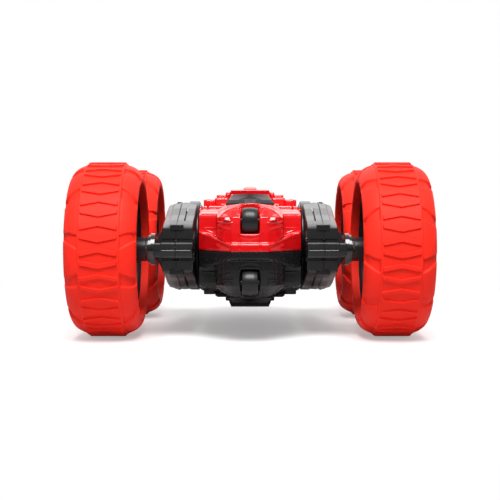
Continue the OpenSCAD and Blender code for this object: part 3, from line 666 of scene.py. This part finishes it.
def shell_rows(x):
    """Front half of a shell's side outline at half width x, as rows of (y, height)."""
    plan = nose_plan(x)
    bumper = 3.0 + 3.6 * smooth((x - 8) / 9.5)
    cabin_in = smooth((10.35 - x) / 1.7)
    cabin_top = smooth((9.0 - x) / 0.9)
    if x < HOOD_HALF_W + 0.1:
        face = hood_plan(x)
        crest = np.interp(x, [0, 3.7, 8.7, 13.0], [18.9, 18.7, 17.9, 14.9])
        rows = [
            (plan, 0.0), (plan + 0.15, bumper - 0.3), (plan + 0.5, bumper + 0.1),
            (face - 0.25, bumper + 0.55),
            (face, 7.4), (face + 0.45, 11.0), (face + 0.95, 13.4),
            (face + 4.2, np.interp(x, [0, 8.7, 13], [16.9, 16.0, 14.3])),
            (face + 8.2, crest), (-58.0, crest + 0.2),
            (-50.4, np.interp(x, [0, 10.3, 13], [18.95, 18.4, 16.3]))]
    else:
        low_face = -58.6
        rows = [
            (plan, 0.0), (plan + 0.12, bumper - 0.3), (plan + 0.4, bumper), (low_face - 0.1, bumper + 0.4),
            (low_face + 0.2, 8.0), (low_face + 0.35, 11.0), (low_face + 0.5, 13.2),
            (low_face + 0.75, 14.2), (low_face + 1.5, 14.75), (-54.0, 15.45), (-50.4, 16.0)]
    deck = [
        (-49.2, 16.2), (-38.2, 16.95), (-38.4, 17.0), (-30.0, 17.3), (-20.0, 17.6), (0.0, 17.75)]
    roof = [
        (-49.2, 18.75), (-38.2, 22.5), (-38.45, 24.7), (-30.0, 24.8), (-20.0, 24.8), (0.0, 24.8)]
    share = [cabin_in, cabin_top * 0.999 + 0.001 * cabin_in, cabin_top, cabin_top, cabin_top, cabin_top]
    sill = np.interp(x, [8.7, 10.4], [1.0, 0.0])
    for (y, low), (_, high), s in zip(deck, roof, share):
        step = low + 1.6 * sill * smooth((11 - x) / 1.0)
        rows.append((y, max(step, low + (high - low) * s) if x < 10.5 else low))
    return np.array(rows, float)


# Half widths where a shell's outline is worked out, and the grid steps between them and along an outline
SHELL_X = [
    0, 3.5, 6.2, 7.2, 8.1, 8.7, 9.0, 9.6, 10.35, 11.7, 13.0, 13.35, 15.4, 17.4, 19.2, 20.1, SHELL_HALF_W]
SHELL_X_COUNTS = [6, 9, 4, 4, 3, 2, 2, 3, 5, 5, 1, 7, 6, 5, 3, 2]
SHELL_ROW_COUNTS = [6, 2, 5, 10, 14, 12, 12, 8, 8, 8, 3, 8, 5, 4, 4, 8]


def line_near(x, h, start, end, width):
    """1 on the line from start to end, falling to 0 at width from it."""
    start, end = np.array(start, float), np.array(end, float)
    way = end - start
    t = np.clip(((x - start[0]) * way[0] + (h - start[1]) * way[1]) / way.dot(way), 0, 1)
    gap = np.hypot(x - start[0] - t * way[0], h - start[1] - t * way[1])
    return smooth(1 - gap / width)


def inside(x, h, corners):
    """1 inside a convex outline given turning one way, fading over 0.3 mm at its edge."""
    corners = np.array(corners, float)
    edge = np.roll(corners, -1, 0) - corners
    edge = edge / np.linalg.norm(edge, axis=1, keepdims=True)
    depth = np.min([edge[i][0] * (h - corners[i][1]) - edge[i][1] * (x - corners[i][0])
                    for i in range(len(corners))], axis=0)
    return smooth(depth / 0.3)


def nose_relief(x, h, depth):
    """Moulded relief of the nose, forwards, over half width x and height h."""
    corner = (12.9, 11.4)
    temple, brow_top = (12.7, 13.2), (9.2, 16.2)
    lamp = inside(x, h, [(7.5, 11.7), (10.5, 11.9), (10.6, 14.7), (7.5, 13.9)])
    lamp = lamp * (0.6 + 1.5 * (x - 7.5) - 0.85 * (h - 11.7))
    brow = 1.3 * line_near(x, h, (7.2, 11.2), corner, 0.4)
    brow = brow + 1.5 * line_near(x, h, corner, temple, 0.4)
    brow_end = 1.6 * line_near(x, h, temple, brow_top, 0.45)
    brow_end = brow_end + 1.3 * line_near(x, h, brow_top, (5, 17.6), 0.45)
    cheek = 1.1 * line_near(x, h, (7.8, 8.6), (12.4, 9.6), 0.4)
    bar = 0.5 * line_near(x, h, (14.3, 8.9), (18.6, 8.9), 0.35)
    rib_one = 1.2 * line_near(x, h, (7.6, 2.4), (18.0, 6.4), 0.75)
    rib_two = 0.35 * line_near(x, h, (10.5, 4.8), (18.2, 8.2), 0.6)
    rib_three = 0.9 * line_near(x, h, (12.4, 2.2), (18.6, 4.4), 0.5)
    sill = -0.9 * line_near(x, h, (0, 5.0), (3.6, 5.9), 0.45)
    nose_line = -1.2 * line_near(x, h, (4.0, 1.0), (4.2, 6.5), 0.35)
    nose_line = nose_line - 1.2 * line_near(x, h, (7.6, 0.6), (7.9, 3.0), 0.35)
    scoop = -3.4 * inside(x, h, [(3.5, 14.0), (5.0, 14.4), (5.4, 16.9), (3.5, 17.5)])
    return depth * (
        lamp + brow + brow_end + cheek + bar + rib_one + rib_two + rib_three + sill + nose_line + scoop)


def black_relief(x, h, depth):
    """Extra upright grooves on the lower shell's nose."""
    span = smooth((h - 2.5) / 0.8) * smooth((13 - h) / 1.5)
    grooves = sum(smooth(1 - np.abs(x - at) / 0.4) for at in (4.0, 7.2, 10.0, 13.4))
    return -1.1 * depth * grooves * span


# How far the lower shell's nose stands behind the upper one's, mm
LOWER_SET_BACK = 0.25


def shell_grid(settings, lower):
    """Half of a shell as rows along the side outline and columns across, for x from the middle out."""
    columns = resample(np.array(SHELL_X)[:, None], SHELL_X_COUNTS)[:, 0]
    outlines = np.array([shell_rows(x) for x in SHELL_X])
    front = np.array([resample(o, SHELL_ROW_COUNTS) for o in outlines])
    y = np.array([np.interp(columns, SHELL_X, front[:, k, 0]) for k in range(front.shape[1])])
    h = np.array([np.interp(columns, SHELL_X, front[:, k, 1]) for k in range(front.shape[1])])
    x = columns[None] + 0 * y
    relief = nose_relief(x, h, settings.line_depth)
    if lower:
        relief = 0.4 * relief + black_relief(x, h, settings.line_depth) - LOWER_SET_BACK
    on_face = smooth((-56.5 - y) / 1.5)
    y = y - relief * on_face
    edge = smooth((x - 19.6) / (SHELL_HALF_W - 19.6))
    on_deck = smooth((y + 58.0) / 1.0)
    h = h - 0.75 * edge * on_deck
    pocket = smooth((3.55 - x) / 0.12)
    back = -ROLLER_Y + 5.4
    in_pocket = pocket * smooth((h - 7.0) / 0.25) * smooth((back - y) / 0.3)
    y = y + in_pocket * (back - y)
    groove = smooth(1 - np.abs(x - 17.9) / 0.35) * smooth((y + 47) / 3)
    seam = smooth(1 - np.abs(y + 52.2) / 0.4) * smooth((x - 13.4) / 0.6)
    h = h - settings.line_depth * (groove + seam)
    return x, y, h


def shell_half(settings, lower):
    """Front and rear halves joined end to end."""
    x, y, h = shell_grid(settings, lower)
    rear = slice(-2, None, -1)
    full_x = np.vstack([x, x[rear]])
    full_y = np.vstack([y, -y[rear]])
    full_h = np.vstack([h, h[rear]])
    if lower:
        door_low, door_high = node_box("battery_door")
        in_door = smooth((door_high[0] - full_x) / 0.1 + 0.5)
        in_door = in_door * smooth((full_y - door_low[1]) / 0.3) * smooth((door_high[1] - full_y) / 0.3)
        full_h = full_h - 1.4 * in_door
        gap = np.hypot(full_x - 16.8, np.abs(full_y) - 50)
        full_h = full_h - 2.6 * smooth((2.5 - gap) / 0.5)
    return full_x, full_y, full_h


def side_wall(y, h):
    """Side of a shell, from its deck edge down to the mid-plane, notched round the pivot."""
    edge_y, edge_h = y[:, -1], h[:, -1]
    n_front = sum(SHELL_ROW_COUNTS[:7])
    share = edge_h[:n_front + 1] / edge_h[n_front]
    span = slice(n_front, len(edge_y) - n_front)
    along, top = edge_y[span], edge_h[span]
    floor = np.sqrt(np.maximum(PIVOT_NOTCH_R ** 2 - along ** 2, 0))
    height = floor[None] + (top - floor)[None] * share[:, None]
    grid_y = along[None] + 0 * height
    first = edge_y[:n_front + 1]
    ease = np.clip(1 - np.arange(len(along)) / 6, 0, 1)
    grid_y = grid_y + (first - first[-1])[:, None] * (ease - ease[::-1])[None]
    return np.stack([np.full_like(height, SHELL_HALF_W), grid_y, height], -1)


def roof_trim(skin, up):
    """Pods, hump, vents and mirrors that stand on a shell's decks."""

    def put(x, y, h, half, **more):
        for side in ((-1, 1) if x else (1,)):
            soft_block(skin, (side * x, y, PIVOT_Z + up * h), half, **more)

    lean = {"lean": (0.5, 3.0)} if up == UPPER else {}
    put(17.6, 0.0, 18.0, (2.75, 22.6, 2.85), roundness=0.13, **lean)
    put(12.1, 10.5, 19.9, (3.0, 20.0, 3.2), roundness=0.13, **lean)
    put(12.4, -14.5, 18.6, (2.9, 8.0, 3.0), roundness=0.16, lean=(0.9, 0.0))
    put(9.6, 6.0, 20.6, (1.3, 24.0, 3.6), roundness=0.2)
    put(14.9, 4.0, 19.0, (0.9, 17.0, 2.6), roundness=0.2)
    put(18.4, -1.0, 20.55, (0.7, 13.0, 0.55), roundness=0.3)
    put(11.2, -31.0, 17.4, (1.3, 6.0, 1.5), roundness=0.25)
    if up == UPPER:
        put(0.0, 6.0, 25.3, (3.1, 17.5, 1.5), roundness=0.55, lean=(6.0, 6.0))


class STUNT_OT_shells(bpy.types.Operator):
    """Make the red upper shell and the black lower shell"""

    bl_idname = "stunt.shells"
    bl_label = "Body shells"

    def execute(self, context):
        settings = context.scene.stunt_shell
        shells = (UPPER, "upper_shell", "red_gloss"), (LOWER, "lower_shell", "black_gloss")
        for up, node, slot_name in shells:
            x, y, h = shell_half(settings, up == LOWER)
            wall = side_wall(y, h)
            skin = Skin()
            whole_x = np.hstack([-x[:, :0:-1], x])
            whole_y = np.hstack([y[:, :0:-1], y])
            whole_h = np.hstack([h[:, :0:-1], h])
            middle = (0, 0, PIVOT_Z)
            deck = np.stack([whole_x, whole_y, PIVOT_Z + up * (whole_h + HALF_SEAM)], -1)
            skin.add(deck, away_from=middle)
            for side in (-1, 1):
                skin.add(wall * [side, 1, up] + [0, 0, PIVOT_Z + up * HALF_SEAM], away_from=middle)
            piece = make_piece(node + "_skin", skin, "body", [node], slot_name, crease=180)
            ease = piece.modifiers.new("soft edges", "SMOOTH")
            ease.factor = 0.45
            ease.iterations = 1
            wall_mod = piece.modifiers.new("wall", "SOLIDIFY")
            wall_mod.thickness = settings.skin * MM
            wall_mod.offset = -1
            trim = Skin()
            roof_trim(trim, up)
            make_piece(node + "_trim", trim, "body", [], slot_name, crease=180)
        return {"FINISHED"}


class STUNT_OT_windows(bpy.types.Operator):
    """Make the sloped windows, with their printed chevron"""

    bl_idname = "stunt.windows"
    bl_label = "Windows"

    def execute(self, context):
        for up, node in ((UPPER, "upper_windshield"), (LOWER, "lower_windshield")):
            a = np.linspace(-1, 1, 41)[None]
            b = np.linspace(0, 1, 17)[:, None]
            half = 10.1 - 2.9 * b ** 1.15
            x = a * half
            crown = 0.35 * (1 - a * a)
            y = -50.0 + 12.5 * b - crown
            h = 18.75 + 4.25 * b + crown * 0.6
            outer = np.stack([x, y, PIVOT_Z + up * (h + 0 * a)], -1)
            skin = Skin()
            skin.add(outer, away_from=(0, 0, PIVOT_Z))
            piece = make_piece(node + "_glass", skin, "body", [node], "smoked_window", crease=60,
                               material=window_print(node + "_smoked", up))
            wall = piece.modifiers.new("wall", "SOLIDIFY")
            wall.thickness = 0.7 * MM
            wall.offset = -1
        return {"FINISHED"}


class STUNT_OT_rollers(bpy.types.Operator):
    """Make the crowned nose rollers"""

    bl_idname = "stunt.rollers"
    bl_label = "Nose rollers"

    def execute(self, context):
        r = ROLLER_R
        line = np.array([
            (-5.4, 0.02), (-5.4, 0.95), (-3.12, 0.98), (-3.2, 2.6), (-3.18, r - 0.95), (-3.02, r - 0.6),
            (-2.7, r - 0.38), (-1.6, r - 0.12), (0, r)])
        counts = [2, 4, 2, 3, 3, 3, 6, 8]
        half = resample(line, counts)
        profile = np.vstack([half, (half * [-1, 1])[-2::-1]])
        for way_name, way in (("front", FRONT), ("rear", REAR)):
            for up_name, up in (("upper", UPPER), ("lower", LOWER)):
                centre = (0, way * ROLLER_Y, PIVOT_Z + up * ROLLER_H)
                skin = Skin()
                grid = turned(profile, 96, centre).transpose(1, 0, 2)
                skin.add(grid, wrap_cols=True, cap=True)
                name = f"{way_name}_{up_name}_roller"
                make_piece(name + "_crowned", skin, f"{way_name}_{up_name}_nose_roller", [name],
                           "roller_black", crease=40)
        return {"FINISHED"}


class STUNT_OT_finishes(bpy.types.Operator):
    """Give every carried-over node its finish"""

    bl_idname = "stunt.finishes"
    bl_label = "Finishes"

    def execute(self, context):
        slots = {s["node"]: s["material_slot"] for s in frame["record"]["subparts"]}
        for node, piece in frame["nodes"].items():
            if piece.hide_render:
                continue
            piece.data.materials.clear()
            piece.data.materials.append(finish(slots[node]))
        return {"FINISHED"}


def area_light(name, energy, size, at, mirrored=True):
    """A soft square light turned towards the car, in watts and metres.

    When mirrored is false, glossy surfaces don't show it.
    """
    data = bpy.data.lights.new(name, "AREA")
    data.energy, data.size = energy, size
    lamp = bpy.data.objects.new(name, data)
    bpy.context.scene.collection.objects.link(lamp)
    lamp.location = at
    lamp.visible_glossy = mirrored
    way = LIGHT_AIM - np.array(at, float)
    yaw = math.atan2(way[0], -way[1])
    lamp.rotation_euler = (math.acos(-way[2] / np.linalg.norm(way)), 0, yaw + math.pi)


def eased(nodes, links, value, start, end, low, high, curve="SMOOTHSTEP"):
    """Carries a value from start..end to low..high, held at both ends."""
    node = nodes.new("ShaderNodeMapRange")
    node.interpolation_type = curve
    for key, number in (("From Min", start), ("From Max", end), ("To Min", low), ("To Max", high)):
        node.inputs[key].default_value = number
    links.new(value, node.inputs["Value"])
    return node.outputs["Result"]


def floor_paper():
    """White paper that shades near the car and fades, with distance from it, into a plain glow. Even next to
    the car three tenths of it is glow: painted light that lightens the car's shadow on the paper as the
    camera sees it.
    """
    material = moulded("floor_paper", (0.88, 0.88, 0.88), rough=0.5, grain=60, grain_height=0.01, shade=0.005,
                       specular=0.3)
    nodes, links, shader = nodes_of(material)
    place = nodes.new("ShaderNodeTexCoord")
    length = nodes.new("ShaderNodeVectorMath")
    length.operation = "LENGTH"
    links.new(place.outputs["Object"], length.inputs[0])
    # Glow share: 0.3 right under the car, rising to all glow at 0.32 m. The 0.3 near the car is painted light
    # that lifts the car's shadow on the floor.
    fade = eased(nodes, links, length.outputs["Value"], 0.02, 0.32, 0.3, 1.0)
    glow = nodes.new("ShaderNodeEmission")
    path = nodes.new("ShaderNodeLightPath")
    seen = nodes.new("ShaderNodeMath")
    seen.operation = "MAXIMUM"
    seen.inputs[1].default_value = 0.06
    links.new(path.outputs["Is Camera Ray"], seen.inputs[0])
    links.new(seen.outputs[0], glow.inputs["Strength"])
    mix = nodes.new("ShaderNodeMixShader")
    links.new(fade, mix.inputs[0])
    links.new(shader.outputs[0], mix.inputs[1])
    links.new(glow.outputs[0], mix.inputs[2])
    links.new(mix.outputs[0], nodes["Material Output"].inputs["Surface"])
    return material


def studio_world():
    """White studio: bright behind and above the car, dim on the side it is seen from."""
    world = bpy.data.worlds.new("studio")
    world.use_nodes = True
    nodes, links = world.node_tree.nodes, world.node_tree.links
    place = nodes.new("ShaderNodeTexCoord")
    split = nodes.new("ShaderNodeSeparateXYZ")
    links.new(place.outputs["Generated"], split.inputs["Vector"])
    back = eased(nodes, links, split.outputs["Y"], -0.45, 0.5, 0.04, 0.8)
    high = eased(nodes, links, split.outputs["Z"], 0.0, 0.35, 0.0, 0.3, "LINEAR")
    both = nodes.new("ShaderNodeMath")
    both.operation = "MAXIMUM"
    links.new(back, both.inputs[0])
    links.new(high, both.inputs[1])
    path = nodes.new("ShaderNodeLightPath")
    seen = nodes.new("ShaderNodeMath")
    seen.operation = "MAXIMUM"
    links.new(path.outputs["Is Camera Ray"], seen.inputs[0])
    links.new(both.outputs[0], seen.inputs[1])
    links.new(seen.outputs[0], nodes["Background"].inputs["Strength"])
    nodes["Background"].inputs["Color"].default_value = (1, 1, 1, 1)
    return world


class STUNT_OT_stage(bpy.types.Operator):
    """Set the camera, the floor and the soft lights"""

    bl_idname = "stunt.stage"
    bl_label = "Stage"

    def execute(self, context):
        settings = context.scene.stunt_stage
        scene = context.scene
        camera = bpy.data.cameras.new("camera")
        camera.lens, camera.sensor_width = settings.lens, 36.0
        camera.clip_start, camera.clip_end = 0.01, 20.0
        holder = bpy.data.objects.new("camera", camera)
        scene.collection.objects.link(holder)
        holder.location = (0, -settings.camera_distance, settings.camera_height)
        holder.rotation_euler = (math.pi / 2 - settings.camera_pitch, 0, 0)
        scene.camera = holder

        reach = np.linspace(-FLOOR_REACH, FLOOR_REACH, 49)
        across, along = np.meshgrid(reach, reach)
        grid = np.stack([across, along, np.full_like(across, -FLOOR_DROP)], -1) / MM
        skin = Skin()
        skin.add(grid, away_from=(0, 0, -1e4))
        floor = bpy.data.objects.new("floor", skin.mesh("floor"))
        scene.collection.objects.link(floor)
        floor.data.materials.append(floor_paper())
        scene.world = studio_world()
        area_light("top_light", 18.0, 0.6, (0.0, -0.55, 0.9))
        area_light("fill_light", 2.4, 1.2, (0.0, -1.2, 0.25), mirrored=False)
        area_light("back_light", 2.0, 0.8, (0.0, 0.8, 0.7))
        scene.view_settings.view_transform = "Standard"
        return {"FINISHED"}


OPERATORS = (
    STUNT_OT_tyres, STUNT_OT_arms, STUNT_OT_shells, STUNT_OT_windows, STUNT_OT_rollers, STUNT_OT_finishes,
    STUNT_OT_stage)
SETTINGS = {
    "stunt_tyre": TyreSettings, "stunt_shell": ShellSettings, "stunt_arm": ArmSettings,
    "stunt_stage": StageSettings}


class STUNT_PT_panel(bpy.types.Panel):
    """Lists the settings and the steps"""

    bl_idname = "STUNT_PT_panel"
    bl_label = "Stunt Car"
    bl_space_type = "VIEW_3D"
    bl_region_type = "UI"
    bl_category = "Stunt Car"

    def draw(self, context):
        for operator in OPERATORS:
            self.layout.operator(operator.bl_idname)
        for name, group in SETTINGS.items():
            box = self.layout.box()
            for prop in group.__annotations__:
                box.prop(getattr(context.scene, name), prop)


def register():
    for cls in (*SETTINGS.values(), *OPERATORS, STUNT_PT_panel):
        bpy.utils.register_class(cls)
    for name, group in SETTINGS.items():
        setattr(bpy.types.Scene, name, bpy.props.PointerProperty(type=group))


def unregister():
    for name in SETTINGS:
        delattr(bpy.types.Scene, name)
    for cls in reversed((*SETTINGS.values(), *OPERATORS, STUNT_PT_panel)):
        bpy.utils.unregister_class(cls)


def main():
    register()
    bpy.ops.stunt.tyres()
    bpy.ops.stunt.arms()
    bpy.ops.stunt.shells()
    bpy.ops.stunt.windows()
    bpy.ops.stunt.rollers()
    bpy.ops.stunt.finishes()
    bpy.ops.stunt.stage()


if __name__ == "__main__":
    main()
